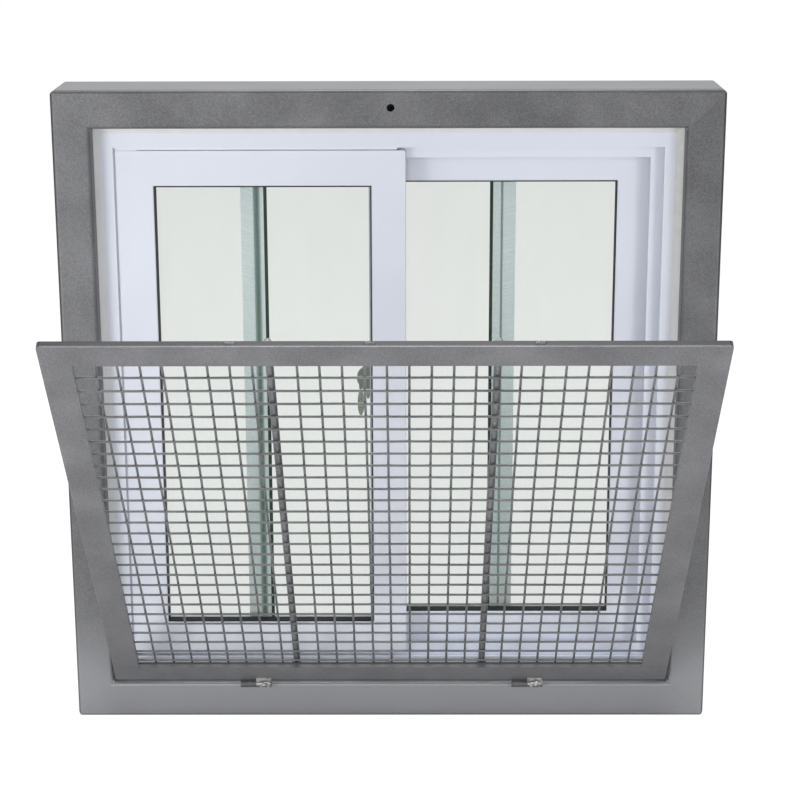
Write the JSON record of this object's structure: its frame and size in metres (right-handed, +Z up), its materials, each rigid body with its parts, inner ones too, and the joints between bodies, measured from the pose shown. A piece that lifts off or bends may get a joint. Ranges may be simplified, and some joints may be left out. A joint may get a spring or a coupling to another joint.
{
  "type": "sliding window",
  "caption": "Two-track sliding window with white plastic sashes, recessed in a grey steel tube frame with a bottom-hinged steel mesh guard.",
  "frame": {"origin": "centre of the bottom face of the steel frame, which rests on the sill of the wall's opening", "axes": "+Z up, +X to the right as seen from outside, -Y out of the wall towards the viewer"},
  "size_m": [0.87, 0.6022, 0.87],
  "materials": {
    "frame_paint": "satin",
    "guard_paint": "satin",
    "wire_paint": "satin",
    "weld_metal": "rough",
    "white_pvc": "gloss",
    "glass": "gloss",
    "gasket": "matte",
    "sealant": "satin",
    "lock_metal": "satin",
    "key_metal": "satin"
  },
  "bodies": {
    "window": {"steel_top_rail": "frame_paint", "steel_bottom_rail": "frame_paint", "steel_left_post": "frame_paint", "steel_right_post": "frame_paint", "hinge_left_fixed": "frame_paint", "hinge_right_fixed": "frame_paint", "track_head": "white_pvc", "track_sill": "white_pvc", "track_left_jamb": "white_pvc", "track_right_jamb": "white_pvc", "sealant_bottom": "sealant", "sealant_top": "sealant", "sealant_left": "sealant", "sealant_right": "sealant", "front_sash_top_rail": "white_pvc", "front_sash_bottom_rail": "white_pvc", "front_sash_left_stile": "white_pvc", "front_sash_right_stile": "white_pvc", "front_sash_glass": "glass", "front_sash_gasket": "gasket", "front_sash_bar_gasket": "gasket", "front_sash_pane_bar": "white_pvc", "rear_sash_top_rail": "white_pvc", "rear_sash_bottom_rail": "white_pvc", "rear_sash_left_stile": "white_pvc", "rear_sash_right_stile": "white_pvc", "rear_sash_glass": "glass", "rear_sash_gasket": "gasket", "rear_sash_bar_gasket": "gasket", "rear_sash_pane_bar": "white_pvc", "head_strip": "white_pvc", "lock_body": "lock_metal", "lock_key": "key_metal", "lock_spare_key": "key_metal"},
    "guard": {"guard_bottom_border": "guard_paint", "guard_top_border": "guard_paint", "guard_left_border": "guard_paint", "guard_right_border": "guard_paint", "guard_mesh_left": "wire_paint", "guard_mesh_middle": "wire_paint", "guard_mesh_right": "wire_paint", "guard_bar_left": "wire_paint", "guard_bar_right": "wire_paint", "hinge_left_leaf": "weld_metal", "hinge_right_leaf": "weld_metal"}
  },
  "joints": [
    {"name": "guard_hinge", "type": "hinge", "parent": "window", "child": "guard", "pos_m": [0, -0.055, 0.051], "axis": [1, 0, 0], "range_deg": [-38.4, 141.6]}
  ]
}
